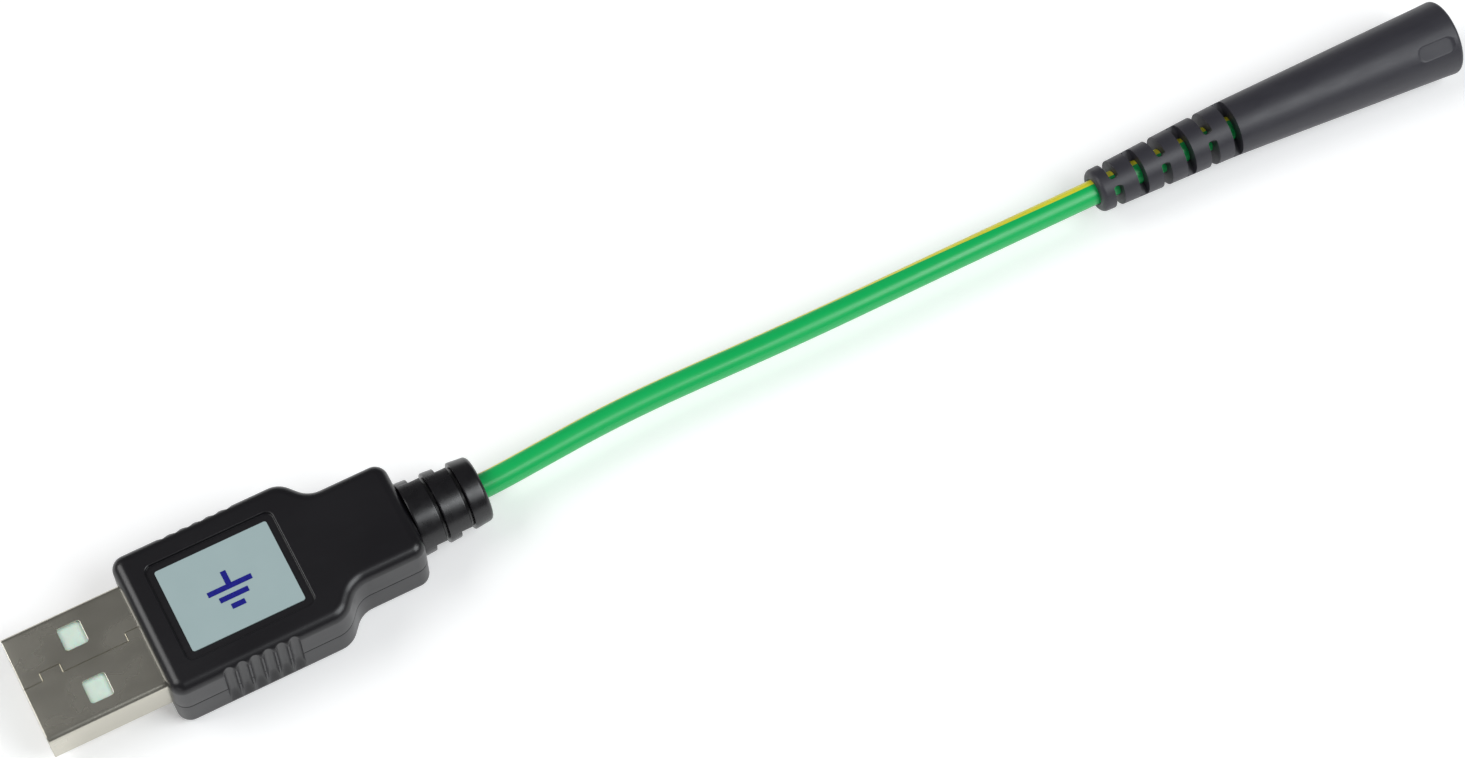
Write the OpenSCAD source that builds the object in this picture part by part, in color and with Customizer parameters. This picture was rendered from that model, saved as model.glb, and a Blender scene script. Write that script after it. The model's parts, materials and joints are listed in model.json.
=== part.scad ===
// Short grounding lead: a USB-A plug at one end, a shrouded 4 mm banana jack
// at the other, joined by one green and yellow earth wire.
//
// Frame: the origin is the centre of the plug's front opening, +X runs along
// the lead towards the jack and +Z comes out of the labelled face.
// All lengths are millimetres.

/* [USB plug] */
// Outside width of the metal shell
shell_w = 12; // [11.9:0.05:12.1]
// Outside height of the metal shell
shell_h = 4.5; // [4.4:0.05:4.6]
// Thickness of the shell's sheet metal
shell_wall = 0.3; // [0.25:0.05:0.35]
// Length of shell that stands out of the housing
shell_reach = 12.3; // [11.8:0.1:13]
// Length of shell held inside the housing
shell_tail = 6.3; // [5.5:0.1:7]
// Distance from the front edge to the latch windows
window_x = 5.16; // [5:0.02:5.3]
// Size of a latch window along the plug
window_len = 2.35; // [2.2:0.05:2.6]
// Size of a latch window across the plug
window_w = 2.55; // [2.4:0.05:2.7]
// Distance of each window's centre from the middle of the plug
window_y = 3.05; // [2.9:0.05:3.2]

/* [Housing] */
// Length of the two-part housing
housing_len = 28; // [27:0.5:30]
// Width of the broad front part
housing_w = 16; // [15:0.2:16.4]
// Thickness of the closed housing
housing_h = 8.4; // [8.2:0.1:9]
// Width of the neck at the back
neck_w = 10.9; // [10.4:0.1:11.4]
// Where the broad part starts to narrow
shoulder_x = 29.2; // [28.5:0.1:30]
// Radius of both curves of the shoulder
shoulder_r = 2.5; // [2:0.1:2.8]
// Steepest angle of the shoulder
shoulder_angle = 50; // [40:1:60]
// Rounding of all the outer edges
housing_edge_r = 1.2; // [0.8:0.1:1.4]
// Wall thickness
housing_wall = 1.5; // [1.4:0.1:1.7]
// Number of grip scallops on each side
scallops = 6; // [4:1:7]
// Depth of the grip scallops
scallop_depth = 0.4; // [0.2:0.05:0.5]
// Distance between grip scallops
grip_pitch = 1.36; // [1.2:0.01:1.5]

/* [Label] */
// Length of the printed label
label_len = 11.8; // [11:0.1:12.2]
// Width of the printed label
label_w = 9.3; // [8.6:0.1:9.6]
// Bare floor left round the label inside its recess
label_margin = 0.8; // [0.5:0.1:1]
// Depth of the recess
label_depth = 0.35; // [0.25:0.05:0.45]

/* [Plug strain relief] */
// Length that stands out behind the housing
plug_boot_len = 7.75; // [7.5:0.05:9]
// Diameter next to the housing
plug_boot_d1 = 7.8; // [7.4:0.1:8]
// Diameter at the free end
plug_boot_d2 = 6.85; // [6.6:0.05:7.1]

/* [Earth wire] */
// Diameter over the insulation
wire_d = 2.6; // [2.5:0.05:2.65]
// Diameter of the stranded copper core
core_d = 1.2; // [1:0.05:1.3]
// Number of bending points between the two strain reliefs
wire_hinges = 12; // [8:2:12]
// Sideways set of the wire after the plug
set_y = 0.77; // [0:0.01:1]

/* [Jack strain relief and body] */
// Where the moulding starts, measured from the plug's front edge
jack_x = 118.3; // [110:0.1:125]
// Length of the moulding
jack_len = 41.7; // [40:0.1:44]
// Diameter at the wire end
jack_d1 = 4.6; // [4.5:0.05:4.8]
// Diameter at the mouth
jack_d2 = 8.05; // [7.8:0.05:8.3]
// Distance from the start to the first slot's centre
slot_start = 1.9; // [1.8:0.05:3]
// Distance between slots
slot_pitch = 2.75; // [2.6:0.05:2.9]
// Width of a slot
slot_w = 1; // [0.9:0.05:1.1]
// Number of slots, each turned a quarter from the last
slots = 6; // [4:2:6]
// Width of the two webs that bridge a slot
web_w = 0.8; // [0.7:0.05:0.85]
// Roll of the slot pattern about the wire
slot_roll = 25; // [0:1:45]
// Sideways set of the slotted part
slotted_yaw = 0.35; // [-1:0.05:1]
// Sideways set of the conical body
jack_yaw = -2.1; // [-4:0.1:4]

/* [Jack socket] */
// Bore for a standard banana plug
socket_bore_d = 4; // [3.95:0.01:4.05]
// Outside diameter of the socket tube
socket_d = 5; // [4.8:0.05:5.1]
// Length of the socket's bore
socket_depth = 16; // [14:0.5:17]
// How far the socket sits inside the mouth
mouth_recess = 1.5; // [1:0.1:2]

/* [Hidden] */
$fn = 64;
// clearance between pieces that touch
gap = 0.05;
// how far a cut runs past the face it opens
through = 1;

shell_len = shell_reach + shell_tail;
shell_corner_r = 0.65;
seam_w = 0.06;

housing_x0 = shell_reach;
housing_x1 = housing_x0 + housing_len;
half_h = housing_h / 2;
cavity_half_h = half_h - housing_wall;
shoulder_drop = (housing_w - neck_w) / 2;
arc_drop = shoulder_r * (1 - cos(shoulder_angle));
arc_run = shoulder_r * sin(shoulder_angle);
slope_run = (shoulder_drop - 2 * arc_drop) / tan(shoulder_angle);
neck_x = shoulder_x + 2 * arc_run + slope_run;
grip_x = 21.4;
scallop_r = 0.65;
label_x = 21.7;
label_t = 0.12;
label_z = half_h - label_depth;
label_corner_r = 0.25;
recess_corner_r = 0.7;

contact_w = 1;
contact_t = 0.25;
contact_spacing = [-3.5, -1, 1, 3.5];
tongue_len = 9;
tongue_front = 0.5;

// locating posts, as [x, y]
post_r = 0.7;
post_places = [[23, 4.9], [23, -4.9], [28.5, 4.6], [28.5, -4.6]];

ground_y = contact_spacing[0];
resistor_x0 = 23.4;
resistor_x1 = 29.6;
resistor_r = 1.15;
lead_r = 0.25;
// size of a rod's ball ends beside the rod itself
rod_ball = 1.06;
lead_z = -contact_t - rod_ball * lead_r;
sleeve_x0 = 31;
sleeve_x1 = 34.4;
sleeve_wall = 0.4;
// how far each conductor reaches into the crimp sleeve
crimp_grip = 1.6;

// inner end of the plug's strain relief, held in the housing
flange_x0 = 36.6;
flange_x1 = 38.4;
flange_r = 3.5;
boot_neck_r = 2.9;

// the side pockets of the plug's strain relief, by distance behind the housing
pocket_places = [1.3, 4.1];
pocket_len = 1.2;
pocket_depth = 0.45;
pocket_half_h = 2.3;
pocket_roll = 24;

wire_r = wire_d / 2;
core_r = core_d / 2;
cup_r = wire_r + gap;
// the wire's insulation starts inside the housing
wire_x0 = 34.8;
// bare wire between the strain relief and the first bending point
free_lead = 1.6;
first_hinge_x = housing_x1 + plug_boot_len + free_lead;
first_slot_x = jack_x + slot_start;
wire_pitch = (first_slot_x - first_hinge_x) / wire_hinges;
hinges = wire_hinges + slots;
// the swing of the wire's set: degrees and decay per millimetre
wave_rate = 8.9;
wave_decay = 0.06;

jack_slope = (jack_d2 - jack_d1) / 2 / jack_len;
jack_bore_r = wire_r + gap;
last_slot_x = first_slot_x + (slots - 1) * slot_pitch;
// lengths along the jack body's own axis, counted from the last slot
body_len = jack_x + jack_len - last_slot_x;
socket_end = body_len - mouth_recess;
socket_base = 1;
socket_start = socket_end - socket_depth - socket_base;
crimp_len = 4.5;
crimp_start = socket_start - crimp_len;
crimp_r = 1.5;
// bare core between the insulation and the crimp barrel
core_bare = 0.4;

function two_digits(i) = str(i < 10 ? "0" : "", i);
function numbered(name, first, last) =
    [for (i = [first:last]) str(name, "_", two_digits(i))];

// ---------------------------------------------------------------- wire path

// Sideways place of the wire at x: it leaves the plug a little to one side,
// swings past its final line and settles, as a wire with a set does.
function wire_y(x) =
    let (u = x - first_hinge_x)
    set_y * (1 - exp(-wave_decay * u) * cos(wave_rate * u));

function hinge_x(i) = i < wire_hinges
    ? first_hinge_x + i * wire_pitch
    : first_slot_x + (i - wire_hinges) * slot_pitch;
function hinge_y(i) = i <= wire_hinges
    ? wire_y(hinge_x(i))
    : hinge_y(wire_hinges) + (hinge_x(i) - first_slot_x) * tan(slotted_yaw);
function hinge_yaw(i) = i >= hinges - 1
    ? jack_yaw
    : atan2(hinge_y(i + 1) - hinge_y(i), hinge_x(i + 1) - hinge_x(i));
// Length of the piece that starts at hinge i
function piece_len(i) = norm([hinge_x(i + 1) - hinge_x(i), hinge_y(i + 1) - hinge_y(i)]);

// Puts children on the piece that starts at hinge i, its axis along +X
module at_hinge(i) {
    translate([hinge_x(i), hinge_y(i), 0]) rotate([0, 0, hinge_yaw(i)]) children();
}

// A round bar along X from x0 to x1
module bar(x0, x1, r0, r1 = undef) {
    translate([x0, 0, 0])
        rotate([0, 90, 0])
            cylinder(h = x1 - x0, r1 = r0, r2 = is_undef(r1) ? r0 : r1);
}

// Turns a half section, drawn as [radius, place along X], about the X axis
module turned() {
    rotate([0, 90, 0]) rotate_extrude() children();
}

// A round wire between two points, with slightly fatter ball ends
module rod(a, b, r) {
    d = b - a;
    translate(a)
        rotate([0, acos(d[2] / norm(d)), atan2(d[1], d[0])])
            cylinder(h = norm(d), r = r, $fn = 24);
    for (end = [a, b])
        translate(end) sphere(r = rod_ball * r, $fn = 24);
}

// ---------------------------------------------------------------- USB plug

// A box along X with its four long edges rounded
module rounded_tube_form(x0, x1, w, h, r) {
    for (side = [-1, 1])
        for (level = [-1, 1])
            translate([0, side * (w / 2 - r), level * (h / 2 - r)]) bar(x0, x1, r);
    translate([x0, -w / 2 + r, -h / 2]) cube([x1 - x0, w - 2 * r, h]);
    translate([x0, -w / 2, -h / 2 + r]) cube([x1 - x0, w, h - 2 * r]);
}

// Fine line where the rolled sheet meets, with its interlocking steps
module shell_seam() {
    step_y = 0.95;
    tab_x0 = 2;
    tab_x1 = 4.1;
    end_step_x = 10.9;
    runs = [[-through, 0, tab_x0, 0], [tab_x0, 0, tab_x0, step_y],
            [tab_x0, step_y, tab_x1, step_y], [tab_x1, 0, tab_x1, step_y],
            [tab_x1, 0, end_step_x, 0], [end_step_x, 0, end_step_x, step_y],
            [end_step_x, step_y, shell_len + through, step_y]];
    for (run = runs)
        translate([run[0], run[1], shell_h / 2 - shell_wall - gap])
            cube([run[2] - run[0] + seam_w, run[3] - run[1] + seam_w, shell_wall + 2 * gap]);
}

module usb_shell() {
    color("silver")
    difference() {
        rounded_tube_form(0, shell_len, shell_w, shell_h, shell_corner_r);
        rounded_tube_form(-through, shell_len + through, shell_w - 2 * shell_wall,
                          shell_h - 2 * shell_wall, shell_corner_r - shell_wall);
        for (side = [-1, 1])
            translate([window_x, side * window_y - window_w / 2, -shell_h])
                cube([window_len, window_w, 2 * shell_h]);
        shell_seam();
    }
}

module contact_slots(clearance) {
    for (y = contact_spacing)
        translate([-through, y - contact_w / 2 - clearance, -contact_t - clearance])
            cube([shell_len + 2 * through, contact_w + 2 * clearance,
                  contact_t + 2 * clearance]);
}

module usb_insulator() {
    inner_w = shell_w - 2 * shell_wall - 2 * gap;
    inner_h = shell_h - 2 * shell_wall - 2 * gap;
    block_x = tongue_front + tongue_len;
    color("ghostwhite")
    difference() {
        intersection() {
            rounded_tube_form(tongue_front, shell_len - gap, inner_w, inner_h,
                              shell_corner_r - shell_wall);
            union() {
                translate([0, -inner_w / 2, -contact_t])
                    cube([block_x, inner_w, inner_h]);
                translate([block_x, -inner_w / 2, -inner_h / 2])
                    cube([shell_len - block_x, inner_w, inner_h]);
            }
        }
        contact_slots(gap / 2);
    }
}

module usb_contacts() {
    power_front = 1.2;
    data_front = 2.2;
    tail = 1.6;
    color("goldenrod")
    for (y = contact_spacing) {
        front = abs(y) > 2 ? power_front : data_front;
        translate([front, y - contact_w / 2, -contact_t])
            cube([shell_len + tail - front, contact_w, contact_t]);
    }
}

// ---------------------------------------------------------------- housing

// Half outline of the housing, drawn in by inset, from front to back
function half_outline(inset) =
    let (
        steps = 6,
        w = housing_w / 2,
        outer_r = shoulder_r - inset,
        inner_r = shoulder_r + inset,
        centre_2 = [neck_x, neck_w / 2 + shoulder_r]
    )
    concat(
        [[housing_x0 + inset, w - inset]],
        [for (k = [0:steps])
            let (a = shoulder_angle * k / steps)
            [shoulder_x + outer_r * sin(a), w - shoulder_r + outer_r * cos(a)]],
        [for (k = [steps:-1:0])
            let (a = shoulder_angle * k / steps)
            [centre_2[0] - inner_r * sin(a), centre_2[1] - inner_r * cos(a)]],
        [[housing_x1 - inset, neck_w / 2 - inset]]);

module housing_outline(inset) {
    half = half_outline(inset);
    polygon(concat(half, [for (k = [len(half) - 1:-1:0]) [half[k][0], -half[k][1]]]));
}

// The closed housing's outer form with every edge rounded
module housing_form() {
    r = housing_edge_r;
    facets = 20;
    minkowski() {
        translate([0, 0, r - half_h])
            linear_extrude(housing_h - 2 * r) housing_outline(r);
        // enlarged so that the facets' outermost points reach r
        sphere(r = r / cos(180 / facets), $fn = facets);
    }
}

// Cutters for the upright grip scallops on both sides
module grip_scallops() {
    cut_half_h = half_h + through;
    for (side = [-1, 1])
        for (k = [0:scallops - 1])
            translate([grip_x + (k - (scallops - 1) / 2) * grip_pitch,
                       side * (housing_w / 2 - scallop_depth + scallop_r), -cut_half_h])
                cylinder(h = 2 * cut_half_h, r = scallop_r, $fn = 32);
}

module rounded_rect(l, w, h, r) {
    for (sx = [-1, 1])
        for (sy = [-1, 1])
            translate([sx * (l / 2 - r), sy * (w / 2 - r), 0])
                cylinder(h = h, r = r, $fn = 32);
    translate([-l / 2 + r, -w / 2, 0]) cube([l - 2 * r, w, h]);
    translate([-l / 2, -w / 2 + r, 0]) cube([l, w - 2 * r, h]);
}

// Room inside for the plug, the resistor, the wire and the boot's flange
module housing_room() {
    translate([0, 0, -cavity_half_h])
        linear_extrude(2 * cavity_half_h) housing_outline(housing_wall);
    rounded_tube_form(housing_x0 - through, shell_len + gap, shell_w + 2 * gap,
                      shell_h + 2 * gap, shell_corner_r + gap);
    bar(flange_x0 - gap, flange_x1 + gap, flange_r + gap);
    bar(flange_x1, housing_x1 + through, boot_neck_r + gap);
}

// Ribs behind the shell that stop it from being pushed in, from z0 to z1
module shell_stops(z0, z1) {
    stop_t = 1.2;
    stop_y = 5.3;
    wall_y = housing_w / 2 - housing_wall + gap;
    for (side = [-1, 1])
        translate([shell_len + gap, side > 0 ? stop_y : -wall_y, z0])
            cube([stop_t, wall_y - stop_y, z1 - z0]);
}

// One hollow half of the housing; side is 1 above the parting plane and -1 below
module housing_half(side) {
    stop_z = side * (cavity_half_h + gap);
    difference() {
        intersection() {
            housing_form();
            translate([0, -housing_w, side > 0 ? 0 : -housing_h])
                cube([housing_x1 + through, 2 * housing_w, housing_h]);
        }
        housing_room();
        grip_scallops();
    }
    shell_stops(min(0, stop_z), max(0, stop_z));
}

module housing_upper() {
    post_len = 1.8;
    color([0.11, 0.1, 0.13])
    union() {
        difference() {
            housing_half(1);
            translate([label_x, 0, label_z])
                rounded_rect(label_len + 2 * label_margin, label_w + 2 * label_margin,
                             label_depth + through, recess_corner_r);
        }
        for (p = post_places)
            translate([p[0], p[1], -post_len])
                cylinder(h = cavity_half_h + post_len + gap, r = post_r, $fn = 32);
    }
}

module housing_lower() {
    boss_r = 1.35;
    color([0.12, 0.11, 0.14])
    difference() {
        union() {
            housing_half(-1);
            for (p = post_places)
                translate([p[0], p[1], -cavity_half_h - gap])
                    cylinder(h = cavity_half_h, r = boss_r, $fn = 32);
        }
        for (p = post_places)
            translate([p[0], p[1], -cavity_half_h])
                cylinder(h = cavity_half_h + through, r = post_r + gap, $fn = 32);
    }
}

module label_plate() {
    color([0.63, 0.7, 0.71])
    translate([label_x, 0, label_z])
        rounded_rect(label_len, label_w, label_t, label_corner_r);
}

// Plain earth symbol: a stem and three bars that get shorter
module label_mark() {
    bar_t = 0.55;
    mark_h = 0.04;
    bars = [4.6, 3, 1.4];
    bar_gap = 1.05;
    stem = 1.7;
    color([0.12, 0.12, 0.55])
    translate([label_x, 0, label_z + label_t]) {
        translate([-bar_t / 2, 0, 0]) cube([bar_t, stem, mark_h]);
        for (k = [0:len(bars) - 1])
            translate([-bars[k] / 2, -bar_t / 2 - k * bar_gap, 0])
                cube([bars[k], bar_t, mark_h]);
    }
}

// ---------------------------------------------------------------- inside the housing

// Barrel body with fatter end caps
module series_resistor() {
    cap = 1.5;
    waist_r = 0.95;
    color("tan")
    union() {
        bar(resistor_x0, resistor_x0 + cap, resistor_r);
        bar(resistor_x0, resistor_x1, waist_r);
        bar(resistor_x1 - cap, resistor_x1, resistor_r);
    }
}

// Front lead, bent across to the ground contact, and straight back lead
module resistor_leads() {
    start = [shell_len + 0.7, ground_y, lead_z];
    bend = [21.2, ground_y, lead_z];
    straight = [22.3, 0, 0];
    color("lightgray") {
        rod(start, bend, lead_r);
        rod(bend, straight, lead_r);
        rod(straight, [resistor_x0 - lead_r, 0, 0], lead_r);
        rod([resistor_x1 + lead_r, 0, 0], [sleeve_x0 + crimp_grip - 2 * lead_r, 0, 0], lead_r);
    }
}

module heat_shrink() {
    wall = 0.25;
    overhang = 0.5;
    color([0.2, 0.2, 0.22])
    difference() {
        bar(resistor_x0 - overhang, resistor_x1 + overhang, resistor_r + gap + wall);
        bar(resistor_x0 - through, resistor_x1 + through, resistor_r + gap);
    }
}

// Solder that bonds the front lead to the ground contact's tail
module solder_joint() {
    solder_r = 0.48;
    color("gray")
    difference() {
        translate([shell_len + 1, ground_y, lead_z]) sphere(r = solder_r, $fn = 32);
        usb_contacts();
        resistor_leads();
    }
}

// Crimped sleeve that joins the resistor's lead to the wire's core
module crimp_sleeve() {
    color("lightgray")
    difference() {
        bar(sleeve_x0, sleeve_x1, core_r + sleeve_wall);
        bar(sleeve_x0 - through, sleeve_x1 + through, core_r + gap / 2);
    }
}

// ---------------------------------------------------------------- plug strain relief

// Outside radius of the boot at distance u behind the housing
function plug_boot_r(u) =
    plug_boot_d1 / 2 + (plug_boot_d2 - plug_boot_d1) / 2 * u / plug_boot_len;

// Outline with a fine groove at each u in grooves
module plug_boot_profile() {
    end_r = 0.5;
    groove_w = 0.35;
    groove_d = 0.5;
    grooves = [2.5, 5.3];
    x1 = housing_x1 + gap;
    last = plug_boot_len;
    polygon(concat(
        [[wire_r + gap, flange_x0], [flange_r, flange_x0], [flange_r, flange_x1 - gap],
         [boot_neck_r, flange_x1 - gap], [boot_neck_r, x1], [plug_boot_r(0), x1]],
        [for (u = grooves) each [
            [plug_boot_r(u), x1 + u], [plug_boot_r(u) - groove_d, x1 + u],
            [plug_boot_r(u) - groove_d, x1 + u + groove_w],
            [plug_boot_r(u + groove_w), x1 + u + groove_w]]],
        [for (a = [0:30:90])
            [plug_boot_r(last) - end_r + end_r * cos(a), x1 + last - end_r + end_r * sin(a)]],
        [[wire_r + gap, x1 + last]]));
}

// Block that cuts the two pockets at distance u, one on each side
module pocket_pair(u) {
    floor_y = plug_boot_r(u) - pocket_depth;
    for (turn = [0, 180])
        rotate([pocket_roll + turn, 0, 0])
            translate([housing_x1 + gap + u, floor_y, -pocket_half_h])
                cube([pocket_len, pocket_depth + through, 2 * pocket_half_h]);
}

module plug_boot() {
    color([0.1, 0.1, 0.11])
    difference() {
        turned() plug_boot_profile();
        for (u = pocket_places) pocket_pair(u);
    }
}

// ---------------------------------------------------------------- earth wire

// Half section of a piece of insulation from x0 to x1. The ball at its back end
// is centred on the next bending point and the cup at its front end on the last
// one, so that neighbours turn freely.
module insulation_section(x0, x1, cup, ball) {
    bore_r = core_r + gap / 2;
    difference() {
        intersection() {
            union() {
                translate([0, x0]) square([wire_r, x1 - x0]);
                if (ball) translate([0, x1]) circle(r = wire_r);
            }
            translate([bore_r, x0]) square([wire_r, x1 - x0 + wire_d]);
        }
        if (cup) circle(r = cup_r);
    }
}

module wire_insulation(i) {
    color([0, 0.63, 0.3])
    if (i == 0)
        turned() insulation_section(wire_x0, first_hinge_x, false, true);
    else if (i < hinges)
        at_hinge(i - 1) turned() insulation_section(0, piece_len(i - 1), true, true);
    else
        at_hinge(i - 1) turned() insulation_section(0, crimp_start - core_bare, true, false);
}

// The stranded core inside piece i, clear of its neighbours when the wire bends
module wire_core(i) {
    tip = 0.85 * wire_r;
    back = cup_r + gap;
    color([0.72, 0.45, 0.2])
    if (i == 0)
        bar(sleeve_x0 + crimp_grip, first_hinge_x + tip, core_r);
    else if (i < hinges)
        at_hinge(i - 1) bar(back, piece_len(i - 1) + tip, core_r);
    else
        at_hinge(i - 1) bar(back, socket_start - core_bare, core_r);
}

// ---------------------------------------------------------------- jack moulding

function jack_r(x) = jack_d1 / 2 + jack_slope * (x - jack_x);

// Knuckle in the middle of a slot: two round-ended webs on the bending axis
module slot_webs(r_out) {
    intersection() {
        difference() {
            bar(-slot_w / 2, slot_w / 2 + gap, r_out);
            bar(-slot_w, slot_w, jack_bore_r);
        }
        union() {
            translate([0, 0, -r_out]) cylinder(h = 2 * r_out, r = web_w / 2, $fn = 32);
            translate([0, -web_w / 2, -r_out]) cube([slot_w, web_w, 2 * r_out]);
        }
    }
}

// A length of the slotted cone between slot i and slot i + 1
module jack_ring_form(k) {
    i = wire_hinges + k - 1;
    x0 = hinge_x(i);
    length = slot_pitch / cos(slotted_yaw) - slot_w / 2;
    quarter = (k - 1) % 2 * 90;
    at_hinge(i)
    rotate([slot_roll, 0, 0])
    union() {
        difference() {
            bar(slot_w / 2, length, jack_r(x0 + slot_w / 2), jack_r(x0 + length));
            bar(0, slot_pitch, jack_bore_r);
        }
        rotate([quarter, 0, 0]) slot_webs(jack_r(x0));
    }
}

module jack_boot_ring(k) {
    color([0.24, 0.23, 0.26]) jack_ring_form(k);
}

// The plain collar before the first slot
module jack_boot_tip() {
    length = slot_start - slot_w / 2;
    edge = 0.5;
    color([0.25, 0.24, 0.27])
    at_hinge(wire_hinges - 1)
    translate([piece_len(wire_hinges - 1) - slot_start, 0, 0])
    difference() {
        union() {
            bar(0, edge, jack_r(jack_x) - edge / 2, jack_r(jack_x + edge));
            bar(edge, length, jack_r(jack_x + edge), jack_r(jack_x + length));
        }
        bar(-through, length + through, jack_bore_r);
    }
}

// Conical body that grips the wire and shrouds the socket
module jack_boot_body() {
    edge = 0.4;
    lip_bore_r = 2.2;
    r0 = jack_r(last_slot_x);
    r1 = jack_r(last_slot_x + body_len);
    quarter = (slots - 1) % 2 * 90;
    color([0.24, 0.23, 0.26])
    at_hinge(hinges - 1)
    union() {
        difference() {
            union() {
                bar(slot_w / 2, body_len - edge, jack_r(last_slot_x + slot_w / 2), r1);
                bar(body_len - edge, body_len, r1, r1 - edge);
            }
            bar(0, crimp_start, jack_bore_r);
            bar(crimp_start - gap, socket_start + gap, crimp_r + gap);
            bar(socket_start - gap, socket_end + gap, socket_d / 2 + gap);
            bar(socket_end, body_len + through, lip_bore_r);
        }
        rotate([slot_roll + quarter, 0, 0]) slot_webs(r0);
    }
}

// Turned socket tube with a crimp barrel for the wire's core
module jack_socket() {
    lead_in = 0.25;
    bore_r = socket_bore_d / 2;
    color("gainsboro")
    at_hinge(hinges - 1)
    difference() {
        union() {
            bar(socket_start, socket_end, socket_d / 2);
            bar(crimp_start, socket_start + gap, crimp_r);
        }
        bar(socket_end - socket_depth, socket_end + through, bore_r);
        bar(socket_end - lead_in, socket_end + gap, bore_r, bore_r + lead_in);
        bar(crimp_start - through, socket_start - core_bare / 2, core_r + gap / 2);
    }
}

// ---------------------------------------------------------------- node list

usb_shell();
usb_insulator();
usb_contacts();
housing_upper();
housing_lower();
label_plate();
label_mark();
series_resistor();
resistor_leads();
heat_shrink();
solder_joint();
crimp_sleeve();
plug_boot();
for (i = [0:hinges])
    wire_insulation(i);
for (i = [0:hinges])
    wire_core(i);
jack_boot_tip();
for (k = [1:slots - 1])
    jack_boot_ring(k);
jack_boot_body();
jack_socket();
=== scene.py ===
import json
import math

import bmesh
import bpy
from mathutils import Matrix, Vector


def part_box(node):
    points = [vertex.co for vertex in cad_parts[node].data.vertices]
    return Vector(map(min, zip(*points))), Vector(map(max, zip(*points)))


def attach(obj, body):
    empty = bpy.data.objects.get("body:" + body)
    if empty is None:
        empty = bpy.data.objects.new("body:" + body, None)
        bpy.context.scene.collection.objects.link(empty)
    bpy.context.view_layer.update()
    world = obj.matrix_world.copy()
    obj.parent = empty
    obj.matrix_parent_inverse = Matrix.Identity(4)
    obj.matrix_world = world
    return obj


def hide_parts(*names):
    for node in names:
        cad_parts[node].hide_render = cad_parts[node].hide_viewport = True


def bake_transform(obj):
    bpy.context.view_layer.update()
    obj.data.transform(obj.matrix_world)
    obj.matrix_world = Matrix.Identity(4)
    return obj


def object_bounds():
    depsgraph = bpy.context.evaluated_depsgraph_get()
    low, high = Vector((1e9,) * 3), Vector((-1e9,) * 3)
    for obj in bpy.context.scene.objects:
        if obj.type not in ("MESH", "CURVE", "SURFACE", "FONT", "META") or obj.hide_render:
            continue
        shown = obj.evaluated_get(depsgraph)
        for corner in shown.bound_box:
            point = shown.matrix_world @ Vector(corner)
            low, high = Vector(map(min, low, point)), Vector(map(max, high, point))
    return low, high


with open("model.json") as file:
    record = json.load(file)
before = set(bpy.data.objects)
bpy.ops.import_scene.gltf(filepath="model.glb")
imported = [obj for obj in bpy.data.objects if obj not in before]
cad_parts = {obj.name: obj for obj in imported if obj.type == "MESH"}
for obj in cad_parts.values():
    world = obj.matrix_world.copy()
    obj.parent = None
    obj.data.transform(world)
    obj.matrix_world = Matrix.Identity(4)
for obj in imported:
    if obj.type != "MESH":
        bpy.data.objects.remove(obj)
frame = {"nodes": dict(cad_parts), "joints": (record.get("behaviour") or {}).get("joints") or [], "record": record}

# Looks for a short grounding lead: USB plug, earth wire, shrouded banana jack.
# Shapes are built in millimetres and turned into metres at the end of each
# build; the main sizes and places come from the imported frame.

CAD_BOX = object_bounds()
MM = 0.001
UP = Vector((0, 0, 1))


def box_mm(*nodes):
    """Lowest and highest corner of one or more CAD nodes, in millimetres."""
    lows, highs = zip(*(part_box(node) for node in nodes))
    low = Vector(min(corner[k] for corner in lows) / MM for k in range(3))
    high = Vector(max(corner[k] for corner in highs) / MM for k in range(3))
    return low, high


# ------------------------------------------------------------------ sizes from the frame

HINGES = [Vector(joint["pos_m"]) / MM for joint in frame["joints"]]
SLOTS = sum(joint["name"].startswith("strain_relief") for joint in frame["joints"])
FIRST_SLOT = len(HINGES) - SLOTS
LAST = len(HINGES) - 1

SHELL_HIGH = box_mm("usb_shell")[1]
HOUSING_LOW, HOUSING_HIGH = box_mm("housing_upper", "housing_lower")
LABEL_LOW, LABEL_HIGH = box_mm("label_plate")
BOOT_LOW, BOOT_HIGH = box_mm("plug_boot")
WIRE_LOW, WIRE_HIGH = box_mm("wire_insulation_00")
CORE_LOW, CORE_HIGH = box_mm("wire_core_00")
CORE_END = box_mm("wire_core_%02d" % (LAST + 1))[1].x
WIRE_END = box_mm("wire_insulation_%02d" % (LAST + 1))[1].x
TIP_LOW = box_mm("jack_boot_tip")[0]
JACK_HIGH = box_mm("jack_boot_body")[1]
SOCKET_LOW, SOCKET_HIGH = box_mm("jack_socket")

WIRE_R = WIRE_HIGH.z
CORE_R = CORE_HIGH.z
CLEARANCE = 0.05
SLOT_PITCH = HINGES[LAST].x - HINGES[LAST - 1].x


# ------------------------------------------------------------------ mesh tools

def mesh_from(bm, name):
    """A mesh that holds bm, which is freed."""
    bm.normal_update()
    mesh = bpy.data.meshes.new(name)
    bm.to_mesh(mesh)
    bm.free()
    return mesh


def evaluated(obj):
    """A copy of obj's mesh with its modifiers applied; obj is removed."""
    bpy.context.view_layer.update()
    graph = bpy.context.evaluated_depsgraph_get()
    mesh = bpy.data.meshes.new_from_object(obj.evaluated_get(graph))
    old = obj.data
    bpy.data.objects.remove(obj)
    bpy.data.meshes.remove(old)
    return mesh


def linked(name, mesh):
    """A new object for mesh, in the scene."""
    obj = bpy.data.objects.new(name, mesh)
    bpy.context.scene.collection.objects.link(obj)
    return obj


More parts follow.
